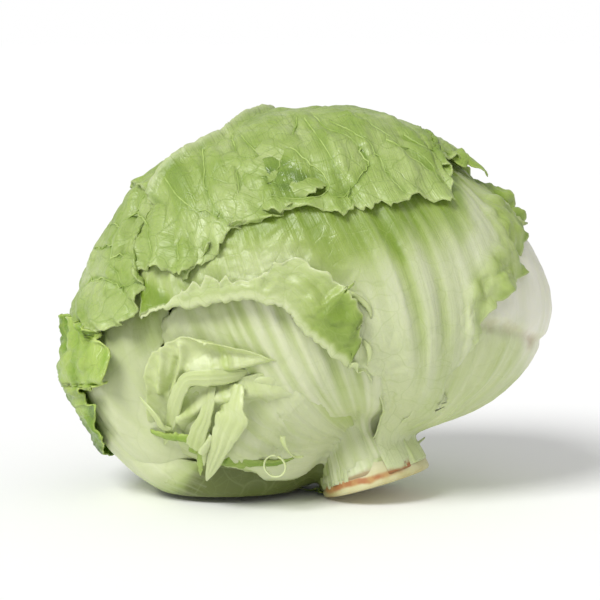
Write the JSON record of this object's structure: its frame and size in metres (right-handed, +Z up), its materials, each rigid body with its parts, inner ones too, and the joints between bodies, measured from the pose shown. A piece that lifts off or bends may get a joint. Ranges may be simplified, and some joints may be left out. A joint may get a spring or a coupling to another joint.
{
  "type": "head of iceberg lettuce",
  "caption": "Head of iceberg lettuce lying on its side, with ruffled outer leaves over a ribbed ball, an opened left side and a cut stem.",
  "frame": {"origin": "on the surface that the head lies on, under the middle of its bounding box", "axes": "+Z up, +X to the right along the head's long side, -Y the front, where the torn left side and the ribbed leaf show"},
  "size_m": [0.1996, 0.1406, 0.1564],
  "materials": {
    "outer_leaf": "soft green leaf with pale veins, waxy satin",
    "ribbed_leaf": "pale leaf with broad white ribs and yellow-green between, satin",
    "pale_leaf": "pale green to white crisp leaf, satin",
    "torn_leaf": "pale yellow-green crumpled leaf, satin",
    "heart_leaf": "pale yellow inner leaf, satin",
    "stem": "cream stem flesh, browned at the cut"
  },
  "bodies": {
    "root": {"hood_leaf_top": "outer_leaf", "hood_leaf_left": "outer_leaf", "left_outer_leaf": "outer_leaf", "back_outer_leaf": "outer_leaf", "ribbed_wrapper_leaf": "ribbed_leaf", "bottom_leaf": "pale_leaf", "right_wrapper_leaf": "pale_leaf", "back_wrapper_leaf": "pale_leaf", "left_wrapper_leaf": "pale_leaf", "pale_wrapper_leaf": "pale_leaf", "torn_leaf_upper": "torn_leaf", "torn_leaf_middle": "torn_leaf", "torn_leaf_lower": "torn_leaf", "heart_leaf_1": "heart_leaf", "heart_leaf_2": "heart_leaf", "heart_leaf_3": "heart_leaf", "heart_leaf_4": "heart_leaf", "heart_leaf_5": "heart_leaf", "heart_leaf_6": "heart_leaf", "heart_leaf_7": "heart_leaf", "heart_leaf_8": "heart_leaf", "heart_leaf_9": "heart_leaf", "stem": "stem"}
  },
  "joints": []
}
